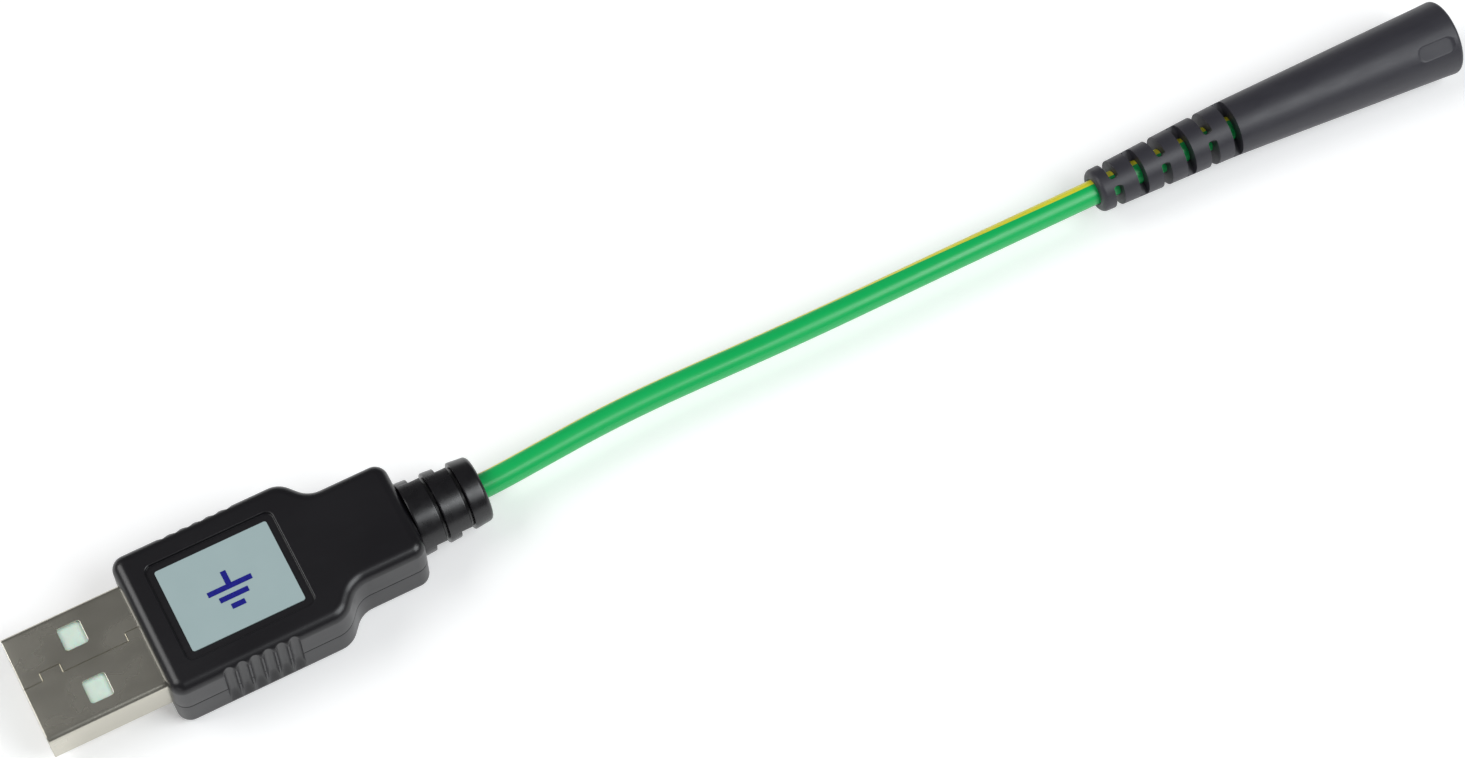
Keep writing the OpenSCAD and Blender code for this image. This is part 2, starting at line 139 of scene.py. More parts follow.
def combine(bm, tool, operation):
    """bm cut by, or joined to, the closed form in tool. Both are used up."""
    body = linked("body", mesh_from(bm, "body"))
    other = linked("tool", mesh_from(tool, "tool"))
    modifier = body.modifiers.new("boolean", "BOOLEAN")
    modifier.operation = operation
    modifier.solver = "EXACT"
    modifier.object = other
    mesh = evaluated(body)
    old = other.data
    bpy.data.objects.remove(other)
    bpy.data.meshes.remove(old)
    result = bmesh.new()
    result.from_mesh(mesh)
    bpy.data.meshes.remove(mesh)
    return result


def cut(bm, tool):
    return combine(bm, tool, "DIFFERENCE")


def join(bm, tool):
    return combine(bm, tool, "UNION")


def soften(bm, size, segments=2, chosen=lambda edge: True, angle=30):
    """Rounds the sharp edges of bm that are chosen."""
    limit = math.radians(angle)
    edges = [e for e in bm.edges
             if e.is_manifold and e.calc_face_angle(0) > limit and chosen(e)]
    bmesh.ops.bevel(bm, geom=edges, offset=size, offset_type="OFFSET", segments=segments,
                    profile=0.5, affect="EDGES", clamp_overlap=True)
    return bm


def clean(bm):
    """Removes doubled points and faces without area."""
    bmesh.ops.remove_doubles(bm, verts=bm.verts, dist=1e-4)
    bmesh.ops.dissolve_degenerate(bm, edges=bm.edges, dist=1e-4)
    return bm


def piece(name, bm, material, sharp=38):
    """The finished object in metres, smooth apart from its sharp edges. Each point
    keeps its place at rest, in millimetres, for the material."""
    mesh = mesh_from(bm, name)
    rest = mesh.attributes.new("place", "FLOAT_VECTOR", "POINT")
    for vertex, value in zip(mesh.vertices, rest.data):
        value.vector = vertex.co
    mesh.shade_smooth()
    mesh.set_sharp_from_angle(angle=math.radians(sharp))
    obj = linked(name, mesh)
    modifier = obj.modifiers.new("even shading", "WEIGHTED_NORMAL")
    modifier.keep_sharp = True
    mesh = evaluated(obj)
    mesh.transform(Matrix.Scale(MM, 4))
    obj = linked(name, mesh)
    obj.data.name = name
    obj.data.materials.append(material)
    return obj


def add_loop(bm, points):
    return [bm.verts.new(point) for point in points]


def bridge(bm, first, second):
    """Quads between two loops of the same length."""
    count = len(first)
    for k in range(count):
        nxt = (k + 1) % count
        bm.faces.new((first[k], first[nxt], second[nxt], second[k]))


def stack(loops):
    """A form with closed ends, through loops of points that all have the same length."""
    bm = bmesh.new()
    rings = [add_loop(bm, points) for points in loops]
    for first, second in zip(rings, rings[1:]):
        bridge(bm, first, second)
    bm.faces.new(reversed(rings[0]))
    bm.faces.new(rings[-1])
    bmesh.ops.recalc_face_normals(bm, faces=bm.faces)
    return bm


def merge(*forms):
    """One bmesh that holds several separate forms."""
    result = bmesh.new()
    for form in forms:
        result.from_mesh(mesh_from(form, "part"))
    return result


def round_corner(centre, radius, start, end, steps):
    """Points on an arc in the plane, angles in degrees."""
    angles = [math.radians(start + (end - start) * k / steps) for k in range(steps + 1)]
    return [(centre[0] + radius * math.cos(a), centre[1] + radius * math.sin(a)) for a in angles]


def rounded_rectangle(half_x, half_y, radius, steps=8):
    """Closed outline of a rectangle about the origin."""
    points = []
    for corner, (sx, sy) in enumerate(((1, 1), (-1, 1), (-1, -1), (1, -1))):
        centre = (sx * (half_x - radius), sy * (half_y - radius))
        points += round_corner(centre, radius, 90 * corner, 90 * corner + 90, steps)
    return points


def ring(x, radius, sides):
    """A circle about the X axis."""
    turns = [math.tau * k / sides for k in range(sides)]
    return [Vector((x, radius * math.sin(t), radius * math.cos(t))) for t in turns]


def lathe(profile):
    """A solid turned about the X axis from a closed outline of (x, radius)."""
    sides = 96
    bm = bmesh.new()
    rings = [add_loop(bm, ring(x, radius, sides)) for x, radius in profile]
    for first, second in zip(rings, rings[1:] + rings[:1]):
        bridge(bm, first, second)
    bmesh.ops.recalc_face_normals(bm, faces=bm.faces)
    return bm


def block(low, high):
    """A plain block, used for cutting and joining."""
    corners = [(low[0], low[1]), (high[0], low[1]), (high[0], high[1]), (low[0], high[1])]
    return stack([[(x, y, z) for x, y in corners] for z in (low[2], high[2])])


def post(place, radius, z0, z1):
    """An upright round post, used for cutting and joining."""
    sides = 40
    circle = round_corner(place, radius, 0, 360 - 360 / sides, sides - 1)
    return stack([[(x, y, z) for x, y in circle] for z in (z0, z1)])


# ------------------------------------------------------------------ materials

class Paint:
    """Short calls that build one material's nodes. Coordinates are millimetres."""

    def __init__(self, name, attribute=None):
        self.material = bpy.data.materials.new(name)
        self.material.use_nodes = True
        self.tree = self.material.node_tree
        self.surface = self.tree.nodes["Principled BSDF"]
        self.bump = None
        if attribute:
            self.place = self.attribute(attribute)
        else:
            coordinates = self.tree.nodes.new("ShaderNodeTexCoord").outputs["Object"]
            self.place = self.vector("SCALE", coordinates, Scale=1 / MM)

    def node(self, kind, output, settings=None, **inputs):
        node = self.tree.nodes.new(kind)
        for key, value in (settings or {}).items():
            setattr(node, key, value)
        for key, value in inputs.items():
            self.feed(node.inputs[key.replace("_", " ")], value)
        return node.outputs[output]

    def feed(self, socket, value):
        if isinstance(value, bpy.types.NodeSocket):
            self.tree.links.new(value, socket)
        else:
            socket.default_value = value

    def set(self, **inputs):
        for key, value in inputs.items():
            self.feed(self.surface.inputs[key.replace("_", " ")], value)

    def attribute(self, name):
        return self.node("ShaderNodeAttribute", "Vector", {"attribute_name": name})

    def vector(self, operation, first, second=None, **inputs):
        node = self.tree.nodes.new("ShaderNodeVectorMath")
        node.operation = operation
        self.feed(node.inputs[0], first)
        if second is not None:
            self.feed(node.inputs[1], second)
        for key, value in inputs.items():
            self.feed(node.inputs[key], value)
        return node.outputs["Vector"]

    def math(self, operation, first, second=0.0, third=0.0):
        node = self.tree.nodes.new("ShaderNodeMath")
        node.operation = operation
        for socket, value in zip(node.inputs, (first, second, third)):
            self.feed(socket, value)
        return node.outputs["Value"]

    def part(self, vector, axis):
        return self.node("ShaderNodeSeparateXYZ", "XYZ"[axis], Vector=vector)

    def spread(self, value, low, high, to_low=0.0, to_high=1.0):
        node = self.tree.nodes.new("ShaderNodeMapRange")
        node.interpolation_type = "SMOOTHSTEP"
        for key, number in (("Value", value), ("From Min", low), ("From Max", high),
                            ("To Min", to_low), ("To Max", to_high)):
            self.feed(node.inputs[key], number)
        return node.outputs["Result"]

    def noise(self, size, stretch=(1, 1, 1), detail=3.0, rough=0.5):
        """Noise whose lumps are about size millimetres, longer where stretch is more."""
        scale = [1 / (size * s) for s in stretch]
        at = self.vector("MULTIPLY", self.place, scale)
        return self.node("ShaderNodeTexNoise", "Fac", Vector=at, Scale=1.0, Detail=detail,
                         Roughness=rough)

    def mix(self, share, first, second):
        node = self.tree.nodes.new("ShaderNodeMix")
        node.data_type = "RGBA"
        self.feed(node.inputs["Factor"], share)
        for key, value in (("A", first), ("B", second)):
            socket = next(s for s in node.inputs if s.name == key and s.type == "RGBA")
            self.feed(socket, value)
        return next(s for s in node.outputs if s.type == "RGBA")

    def relief(self, height, depth):
        """Adds a bump of the given depth in millimetres on top of the last one."""
        inputs = {"Height": height, "Distance": depth * MM, "Strength": 1.0}
        if self.bump is not None:
            inputs["Normal"] = self.bump
        self.bump = self.node("ShaderNodeBump", "Normal", **inputs)
        self.set(Normal=self.bump)


def grey(value, warmth=0.0):
    """A near grey colour, warmer when warmth is above 0 and cooler below it."""
    return (value * (1 + warmth), value, value * (1 - warmth), 1)


def plated_metal():
    """Bright nickel plate on drawn steel: fine rolling lines and faint smears."""
    p = Paint("plated_metal", "place")
    lines = p.noise(0.05, stretch=(30, 1, 1), detail=2)
    smear = p.noise(3.5, stretch=(1.6, 1, 1), detail=2, rough=0.5)
    p.set(Base_Color=p.mix(smear, (0.53, 0.51, 0.44, 1), (0.59, 0.57, 0.50, 1)),
          Metallic=1.0,
          Roughness=p.spread(smear, 0.3, 0.7, 0.24, 0.28))
    p.relief(lines, 0.0003)
    return p.material


def housing_plastic():
    """Black moulded plastic with a fine spark-eroded grain and handling marks."""
    p = Paint("housing_plastic", "place")
    grain = p.noise(0.09, detail=2)
    flow = p.noise(5, stretch=(2, 1, 1), detail=3)
    rub = p.spread(p.noise(0.7, stretch=(3, 1, 1), detail=4, rough=0.65), 0.5, 0.75)
    p.set(Base_Color=p.mix(flow, (0.0038, 0.0032, 0.0050, 1), (0.0052, 0.0046, 0.0068, 1)),
          Roughness=p.math("ADD", p.spread(flow, 0.3, 0.7, 0.31, 0.35),
                           p.math("MULTIPLY", rub, 0.02)),
          IOR=1.52)
    p.relief(grain, 0.0016)
    return p.material


def glossy_boot_plastic():
    """Smooth black flexible plastic with a shiny skin."""
    p = Paint("glossy_boot_plastic", "place")
    skin = p.noise(0.9, detail=2)
    fine = p.noise(0.06, detail=2)
    p.set(Base_Color=p.mix(skin, (0.0038, 0.0035, 0.0048, 1), (0.0055, 0.0050, 0.0065, 1)),
          Roughness=p.spread(skin, 0.3, 0.7, 0.26, 0.33),
          IOR=1.53)
    p.relief(skin, 0.002)
    p.relief(fine, 0.0005)
    return p.material


def jack_rubber():
    """Charcoal moulded elastomer, satin, with a fine dry grain."""
    p = Paint("jack_rubber", "place")
    grain = p.noise(0.07, detail=3)
    streak = p.noise(0.8, stretch=(5, 1, 1), detail=4, rough=0.6)
    dust = p.spread(p.noise(0.35, detail=5, rough=0.7), 0.6, 0.8)
    base = p.mix(streak, (0.026, 0.025, 0.033, 1), (0.036, 0.035, 0.044, 1))
    p.set(Base_Color=p.mix(p.math("MULTIPLY", dust, 0.25), base, (0.09, 0.09, 0.095, 1)),
          Roughness=p.spread(streak, 0.3, 0.7, 0.42, 0.5),
          IOR=1.5)
    p.relief(grain, 0.004)
    p.relief(streak, 0.004)
    return p.material


# the stripe's middle at each end of the wire, in degrees from +Z towards +Y
STRIPE_AT_PLUG = 70
STRIPE_AT_JACK = 38
# where it starts to drift from one to the other, and half the angle it covers
STRIPE_TURNS_AT = 80
STRIPE_HALF_ANGLE = 27


def wire_plastic():
    """Green insulation with a yellow stripe that drifts slowly round the wire."""
    p = Paint("wire_plastic", "place")
    around = p.attribute("around")
    along = p.part(around, 2)
    middle = p.spread(along, STRIPE_TURNS_AT, HINGES[FIRST_SLOT].x,
                      math.radians(STRIPE_AT_PLUG), math.radians(STRIPE_AT_JACK))
    across = p.math("ADD",
                    p.math("MULTIPLY", p.part(around, 0), p.math("COSINE", middle)),
                    p.math("MULTIPLY", p.part(around, 1), p.math("SINE", middle)))
    edge = math.cos(math.radians(STRIPE_HALF_ANGLE))
    wander = p.math("MULTIPLY", p.math("SUBTRACT", p.noise(1.5, stretch=(4, 1, 1)), 0.5), 0.03)
    stripe = p.spread(p.math("ADD", across, wander), edge - 0.012, edge + 0.012)
    shade = p.noise(1.1, stretch=(12, 1, 1), detail=3)
    lines = p.noise(0.08, stretch=(60, 1, 1), detail=2)
    green = p.mix(shade, (0.0, 0.45, 0.10, 1), (0.0, 0.51, 0.12, 1))
    yellow = p.mix(shade, (0.76, 0.70, 0.02, 1), (0.84, 0.78, 0.04, 1))
    colour = p.mix(stripe, green, yellow)
    p.set(Base_Color=colour, Roughness=p.spread(shade, 0.3, 0.7, 0.3, 0.38), IOR=1.53,
          Subsurface_Weight=0.12, Subsurface_Scale=0.4 * MM)
    p.surface.inputs["Subsurface Radius"].default_value = (0.6, 1.0, 0.5)
    p.relief(lines, 0.0025)
    p.relief(p.noise(0.25, detail=2), 0.0025)
    return p.material


def label_film():
    """Grey-blue printed film with a fine matt grain and a soft sheen."""
    p = Paint("label_film")
    grain = p.noise(0.06, detail=3)
    tone = p.noise(3, detail=2)
    p.set(Base_Color=p.mix(tone, (0.36, 0.47, 0.475, 1), (0.39, 0.50, 0.505, 1)),
          Roughness=p.spread(grain, 0.3, 0.7, 0.42, 0.55))
    p.relief(grain, 0.0015)
    return p.material


def label_ink():
    """Dark blue screen ink with slightly uneven cover."""
    p = Paint("label_ink")
    cover = p.noise(0.18, detail=4, rough=0.65)
    p.set(Base_Color=p.mix(p.spread(cover, 0.35, 0.65), (0.006, 0.006, 0.20, 1),
                           (0.010, 0.012, 0.27, 1)),
          Roughness=p.spread(cover, 0.3, 0.7, 0.45, 0.55), Specular_IOR_Level=0.25)
    p.relief(cover, 0.002)
    return p.material


def natural_nylon():
    """Off-white translucent insulator."""
    p = Paint("natural_nylon")
    cloud = p.noise(0.9, detail=3)
    p.set(Base_Color=p.mix(cloud, (0.66, 0.80, 0.70, 1), (0.76, 0.88, 0.78, 1)),
          Roughness=p.spread(cloud, 0.3, 0.7, 0.35, 0.5), Subsurface_Weight=0.35,
          Subsurface_Scale=0.6 * MM)
    p.relief(p.noise(0.1, detail=2), 0.0015)
    return p.material


def plain_metal(name, dark, light, rough, lay):
    """A metal with fine tool marks; lay stretches the marks along x, y and z."""
    p = Paint(name)
    marks = p.noise(0.05, stretch=lay, detail=2)
    tarnish = p.noise(0.8, detail=4, rough=0.6)
    p.set(Base_Color=p.mix(p.spread(tarnish, 0.3, 0.7), dark, light), Metallic=1.0,
          Roughness=p.spread(tarnish, 0.3, 0.7, rough, rough + 0.12))
    p.relief(marks, 0.0015)
    return p.material


def copper_strands():
    """Bright bare copper with drawn lines along each strand."""
    p = Paint("copper_strands", "place")
    lines = p.noise(0.03, stretch=(40, 1, 1), detail=2)
    tone = p.noise(0.6, stretch=(3, 1, 1), detail=3)
    p.set(Base_Color=p.mix(tone, (0.72, 0.28, 0.14, 1), (0.90, 0.46, 0.27, 1)), Metallic=1.0,
          Roughness=0.28)
    p.relief(lines, 0.002)
    return p.material


def resistor_lacquer():
    """Beige lacquer with painted value bands round the barrel."""
    p = Paint("resistor_lacquer")
    low, high = box_mm("series_resistor")
    share = p.math("DIVIDE", p.math("SUBTRACT", p.part(p.place, 0), low.x), high.x - low.x)
    colour = p.mix(p.noise(0.5), (0.55, 0.42, 0.25, 1), (0.62, 0.48, 0.30, 1))
    half_band = 0.045
    bands = ((0.12, (0.25, 0.08, 0.02, 1)), (0.34, (0.01, 0.01, 0.01, 1)),
             (0.52, (0.01, 0.22, 0.04, 1)), (0.86, (0.50, 0.33, 0.05, 1)))
    for centre, paint in bands:
        away = p.math("ABSOLUTE", p.math("SUBTRACT", share, centre))
        colour = p.mix(p.spread(away, half_band, half_band + 0.01, 1.0, 0.0), colour, paint)
    p.set(Base_Color=colour, Roughness=p.spread(p.noise(0.3), 0.3, 0.7, 0.25, 0.4))
    p.relief(p.noise(0.2), 0.004)
    return p.material


def shrink_tube():
    """Thin dark sleeving, slightly puckered where it has shrunk."""
    p = Paint("shrink_tube")
    pucker = p.noise(0.5, stretch=(3, 1, 1), detail=3)
    p.set(Base_Color=p.mix(pucker, (0.012, 0.012, 0.014, 1), (0.022, 0.022, 0.024, 1)),
          Roughness=p.spread(pucker, 0.3, 0.7, 0.4, 0.55))
    p.relief(pucker, 0.02)
    return p.material


def backdrop_paper():
    """Plain pale sheet with a barely visible tooth."""
    p = Paint("backdrop_paper")
    p.set(Base_Color=p.mix(p.noise(2.5), grey(0.90), grey(0.92)), Roughness=0.8,
          Emission_Color=grey(1.0), Emission_Strength=0.3)
    p.relief(p.noise(0.4), 0.004)
    return p.material


# ------------------------------------------------------------------ the wire's path

# bare wire before the first hinge that may bend
LEAD = 1.5


def bend_ends(i):
    """Where the curve round hinge i starts and ends: half way to its neighbours."""
    before = HINGES[i] - Vector((LEAD, 0, 0))
    if i > 0:
        before = (HINGES[i - 1] + HINGES[i]) / 2
    after = HINGES[i] + jack_direction() * SLOT_PITCH / 2
    if i < LAST:
        after = (HINGES[i] + HINGES[i + 1]) / 2
    return before, after


def jack_direction():
    """Unit vector along the jack, from its bore mount."""
    mounts = frame["record"]["mounts"]
    return Vector(next(m for m in mounts if m["name"] == "banana_jack")["axis"])


def centre_line(x):
    """Point of the wire's axis at x, and its direction there."""
    if x <= bend_ends(0)[0].x:
        return Vector((x, 0, 0)), Vector((1, 0, 0))
    for i, hinge in enumerate(HINGES):
        start, end = bend_ends(i)
        if x <= end.x:
            a = start.x - 2 * hinge.x + end.x
            b = 2 * (hinge.x - start.x)
            c = start.x - x
            t = -c / b if abs(a) < 1e-9 else (math.sqrt(b * b - 4 * a * c) - b) / (2 * a)
            point = start * (1 - t) ** 2 + hinge * 2 * t * (1 - t) + end * t * t
            return point, ((hinge - start) * (1 - t) + (end - hinge) * t).normalized()
    direction = jack_direction()
    return HINGES[LAST] + direction * ((x - HINGES[LAST].x) / direction.x), direction


def on_path(point):
    """Moves a point built about the X axis onto the wire's path."""
    centre, direction = centre_line(point.x)
    return centre + UP.cross(direction) * point.y + UP * point.z


def stations(start, end, step):
    """Evenly spaced places from start to end, about step apart."""
    count = max(1, round((end - start) / step))
    return [start + (end - start) * k / count for k in range(count + 1)]


def hinge_zones(first_x, last_x):
    """For each hinge: its number and the length of wire that follows it."""
    cuts = [first_x] + [bend_ends(i)[1].x for i in range(LAST)] + [last_x]
    return [(i, cuts[i], cuts[i + 1]) for i in range(len(HINGES))]


def blend_over_hinge(obj, i, half=None):
    """Bakes obj's placement into its mesh; the stretch round hinge i, cut to half each side when given, is worked
    out but not used, and nothing is bent.
    """
    start, end = bend_ends(i)
    if half:
        direction = (end - start).normalized()
        start, end = HINGES[i] - direction * half, HINGES[i] + direction * half
    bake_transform(obj)


# ------------------------------------------------------------------ USB shell

SEAM_STEP_Y = 0.95
SEAM_TAB = (2.0, 4.1)
SEAM_LAST_STEP = 10.9
WINDOW_X = 5.16
WINDOW_LEN = 2.35
WINDOW_W = 2.55
WINDOW_Y = 3.05


def shell_loop(x, inset, corner):
    """The shell's rounded outline at x, drawn in by inset."""
    half_w = SHELL_HIGH.y - inset
    half_h = SHELL_HIGH.z - inset
    return [(x, y, z) for y, z in rounded_rectangle(half_w, half_h, corner, steps=10)]


def seam_cutter():
    """V groove that follows the rolled sheet's joint and its interlocking steps."""
    half_w, depth, above = 0.06, 0.08, 0.05
    x_end = HOUSING_LOW.x + 2
    tab_start, tab_end = SEAM_TAB
    path = [(-1, 0), (tab_start, 0), (tab_start, SEAM_STEP_Y), (tab_end, SEAM_STEP_Y),
            (tab_end, 0), (SEAM_LAST_STEP, 0), (SEAM_LAST_STEP, SEAM_STEP_Y), (x_end, SEAM_STEP_Y)]
    points = [Vector((x, y, SHELL_HIGH.z)) for x, y in path]
    sides = [UP.cross(b - a).normalized() for a, b in zip(points, points[1:])]
    flare = half_w * (depth + above) / depth
    loops = []
    for point, before, after in zip(points, sides[:1] + sides, sides + sides[-1:]):
        mitre = (before + after) / (1 + before.dot(after))
        loops.append([point + mitre * flare + UP * above, point - UP * depth,
                      point - mitre * flare + UP * above])
    return stack(loops)


def usb_shell():
    wall = 0.3
    corner = 0.65
    rim = 0.07
    window_corner = 0.32
    loops = [shell_loop(0, rim, corner), shell_loop(rim / 3, rim / 3, corner),
             shell_loop(rim, 0, corner)]
    loops += [shell_loop(x, 0, corner) for x in stations(1, SHELL_HIGH.x, 2)]
    loops += [shell_loop(x, wall, corner - wall) for x in (SHELL_HIGH.x, rim)]
    loops += [shell_loop(0, wall - rim, corner - wall)]
    bm = bmesh.new()
    rings = [add_loop(bm, points) for points in loops]
    for first, second in zip(rings, rings[1:] + rings[:1]):
        bridge(bm, first, second)
    bmesh.ops.recalc_face_normals(bm, faces=bm.faces)
    windows = []
    for side in (-1, 1):
        outline = rounded_rectangle(WINDOW_LEN / 2, WINDOW_W / 2, window_corner)
        place = (WINDOW_X + WINDOW_LEN / 2, side * WINDOW_Y)
        windows.append(stack([[(x + place[0], y + place[1], z) for x, y in outline]
                              for z in (-SHELL_HIGH.z * 2, SHELL_HIGH.z * 2)]))
    bm = cut(bm, merge(*windows))
    reach = WINDOW_Y + WINDOW_W

    def at_window(edge):
        return all(WINDOW_X - 0.1 < v.co.x < WINDOW_X + WINDOW_LEN + 0.1 and abs(v.co.y) < reach
                   and abs(v.co.z) > SHELL_HIGH.z - wall - 0.01 for v in edge.verts)

    soften(bm, 0.06, chosen=at_window, angle=60)
    bm = clean(cut(bm, seam_cutter()))
    obj = piece("usb_shell_skin", bm, plated_metal(), sharp=30)
    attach(obj, "plug")
    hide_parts("usb_shell")


# ------------------------------------------------------------------ housing

EDGE_R = 1.2
CORNER_R = 1.4
WALL = 1.5
NECK_HALF = 5.45
SHOULDER_X = 29.2
SHOULDER_R = 2.5
SHOULDER_ANGLE = 50
SCALLOPS = 6
SCALLOP_PITCH = 1.36
SCALLOPS_CENTRE_X = 21.4
SCALLOP_R = 0.65
SCALLOP_DEPTH = 0.4
SCALLOP_HALF_W = math.sqrt(SCALLOP_R ** 2 - (SCALLOP_R - SCALLOP_DEPTH) ** 2)
# the scallops run out to nothing over this height, just above the lower edge
SCALLOP_RUN_OUT = 1.5
POSTS = [(23, 4.9), (23, -4.9), (28.5, 4.6), (28.5, -4.6)]
POST_R = 0.7
POST_LEN = 1.8
POST_SLEEVE_R = 1.35
# the stops behind the shell: their inner edge and their thickness
STOP_Y = 5.3
STOP_T = 1.2
# places along the straight walls behind the grip and beside the neck
SIDE_PLACES = (27.5, 28.4)
NECK_PLACES = (36, 37.5)


def scallop_centres():
    """Where the grip scallops are along the housing."""
    return [SCALLOPS_CENTRE_X + (k - (SCALLOPS - 1) / 2) * SCALLOP_PITCH for k in range(SCALLOPS)]


def scallop_depth(x, z):
    """How deep the upright grip scallops are cut into the plain side wall at x and z."""
    dx = min(abs(x - centre) for centre in scallop_centres())
    if dx >= SCALLOP_HALF_W:
        return 0
    share = min(1, max(0, (z - HOUSING_LOW.z - EDGE_R) / SCALLOP_RUN_OUT))
    return share * (math.sqrt(SCALLOP_R ** 2 - dx ** 2) - (SCALLOP_R - SCALLOP_DEPTH))


def scallop_stations():
    """Places along the side wall, evenly spaced round the arc of each scallop."""
    half_angle = math.asin(SCALLOP_HALF_W / SCALLOP_R)
    shares = [k / 6 for k in range(-6, 7)]
    return [centre + SCALLOP_R * math.sin(half_angle * share)
            for centre in scallop_centres() for share in shares]


def housing_half_outline(inset):
    """Outline drawn in by inset, from the front's middle round to the back's middle."""
    x0, x1 = HOUSING_LOW.x, HOUSING_HIGH.x
    half_w = HOUSING_HIGH.y
    corner = max(CORNER_R - inset, 0.2)
    shoulder = math.radians(SHOULDER_ANGLE)
    slope_run = (half_w - NECK_HALF - 2 * SHOULDER_R * (1 - math.cos(shoulder))) / math.tan(shoulder)
    neck_x = SHOULDER_X + 2 * SHOULDER_R * math.sin(shoulder) + slope_run
    front = (x0 + inset + corner, half_w - inset - corner)
    back = (x1 - inset - corner, NECK_HALF - inset - corner)
    points = [(x0 + inset, front[1] * share) for share in (0, 0.25, 0.5, 0.75)]
    points += round_corner(front, corner, 180, 90, 8)
    points += [(x, half_w - inset) for x in scallop_stations()]
    points += [(x, half_w - inset) for x in SIDE_PLACES]
    points += round_corner((SHOULDER_X, half_w - SHOULDER_R), SHOULDER_R - inset,
                           90, 90 - SHOULDER_ANGLE, 8)
    points += round_corner((neck_x, NECK_HALF + SHOULDER_R), SHOULDER_R + inset,
                           270 - SHOULDER_ANGLE, 270, 8)
    points += [(x, NECK_HALF - inset) for x in NECK_PLACES]
    points += round_corner(back, corner, 90, 0, 8)
    points += [(x1 - inset, back[1] * share) for share in (0.66, 0.33, 0)]
    return points


def housing_loop(inset, z, scalloped=False):
    """The housing's whole outline at height z, drawn in by inset."""
    half = housing_half_outline(inset)
    if scalloped:
        half = [(x, y - max(0, scallop_depth(x, z) - inset)) for x, y in half]
    mirrored = [(x, -y) for x, y in reversed(half[1:-1])]
    return [(x, y, z) for x, y in half + mirrored]


def housing_bowl(side):
    """One hollow half, open at the parting plane; side is 1 above and -1 below."""
    half_h = HOUSING_HIGH.z
    inner_z = half_h - WALL
    joint = ((0.07, 0.0), (0.02, 0.05), (0, 0.1))
    walls = (1.0, 1.5, 2.0, 2.5, half_h - EDGE_R)
    loops = [housing_loop(inset, side * z, scalloped=True) for inset, z in joint]
    loops += [housing_loop(0, side * z, scalloped=True) for z in walls]
    turns = [math.radians(90 * k / 18) for k in range(1, 19)]
    loops += [housing_loop(EDGE_R * (1 - math.cos(t)), side * (half_h - EDGE_R + EDGE_R * math.sin(t)),
                           scalloped=True) for t in turns]
    bm = bmesh.new()
    outer = [add_loop(bm, points) for points in loops]
    inner = [add_loop(bm, housing_loop(WALL, side * z)) for z in (inner_z, 0)]
    for first, second in zip(outer, outer[1:]):
        bridge(bm, first, second)
    bm.faces.new(outer[-1])
    bridge(bm, inner[0], inner[1])
    bm.faces.new(inner[0])
    bridge(bm, inner[1], outer[0])
    bmesh.ops.recalc_face_normals(bm, faces=bm.faces)
    return bm


def label_recess():
    """Cutter for the label's recess, with a rounded rim and a small foot radius."""
    margin = 0.8
    corner = 0.75
    rim = 0.14
    floor, top = LABEL_LOW.z, HOUSING_HIGH.z
    centre = (LABEL_LOW + LABEL_HIGH) / 2
    half_x = (LABEL_HIGH.x - LABEL_LOW.x) / 2 + margin
    half_y = (LABEL_HIGH.y - LABEL_LOW.y) / 2 + margin
    steps = [(0.08, floor), (0.02, floor + 0.03), (0, floor + 0.09), (0, top - rim),
             (-rim * 0.13, top - rim / 2), (-rim * 0.5, top - rim * 0.13), (-rim, top),
             (-rim * 3, top + rim)]
    loops = []
    for inset, z in steps:
        outline = rounded_rectangle(half_x - inset, half_y - inset, corner - inset)
        loops.append([(x + centre.x, y + centre.y, z) for x, y in outline])
    return stack(loops)


def housing_pockets(bm):
    """Room for the shell, the strain relief's flange and its neck."""
    sides = 64
    corner = 0.7
    outline = rounded_rectangle(SHELL_HIGH.y + CLEARANCE, SHELL_HIGH.z + CLEARANCE, corner)
    shell_room = stack([[(x, y, z) for y, z in outline]
                        for x in (HOUSING_LOW.x - 1, SHELL_HIGH.x + CLEARANCE)])
    flange = (BOOT_LOW.x - CLEARANCE, BOOT_LOW.x + FLANGE_LEN + CLEARANCE)
    boot_room = stack([ring(flange[0], FLANGE_R + CLEARANCE, sides),
                       ring(flange[1], FLANGE_R + CLEARANCE, sides),
                       ring(flange[1], BOOT_NECK_R + CLEARANCE, sides),
                       ring(HOUSING_HIGH.x + 1, BOOT_NECK_R + CLEARANCE, sides)])
    return cut(bm, merge(shell_room, boot_room))


def shell_stops(side):
    """Ribs behind the shell that keep it from being pushed in."""
    wall_y = HOUSING_HIGH.y - WALL + CLEARANCE
    z = side * (HOUSING_HIGH.z - WALL + CLEARANCE)
    x = SHELL_HIGH.x + CLEARANCE
    spans = [(STOP_Y, wall_y), (-wall_y, -STOP_Y)]
    return merge(*[block((x, y0, min(0, z)), (x + STOP_T, y1, max(0, z))) for y0, y1 in spans])


def housing():
    plastic = housing_plastic()
    inner_z = HOUSING_HIGH.z - WALL
    upper = cut(housing_pockets(housing_bowl(1)), label_recess())
    upper = join(upper, merge(*[post(p, POST_R, -POST_LEN, inner_z + CLEARANCE) for p in POSTS]))
    upper = join(upper, shell_stops(1))
    lower = housing_pockets(housing_bowl(-1))
    sleeves = [post(p, POST_SLEEVE_R, -inner_z - CLEARANCE, -CLEARANCE) for p in POSTS]
    lower = join(lower, merge(*sleeves))
    lower = cut(lower, merge(*[post(p, POST_R + CLEARANCE, -inner_z, 1) for p in POSTS]))
    lower = join(lower, shell_stops(-1))
    for name, bm in (("upper", upper), ("lower", lower)):
        obj = piece("housing_shell_" + name, clean(bm), plastic, sharp=35)
        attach(obj, "plug")
        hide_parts("housing_" + name)


# ------------------------------------------------------------------ plug's strain relief

BOOT_R1 = 3.9
BOOT_R2 = 3.42
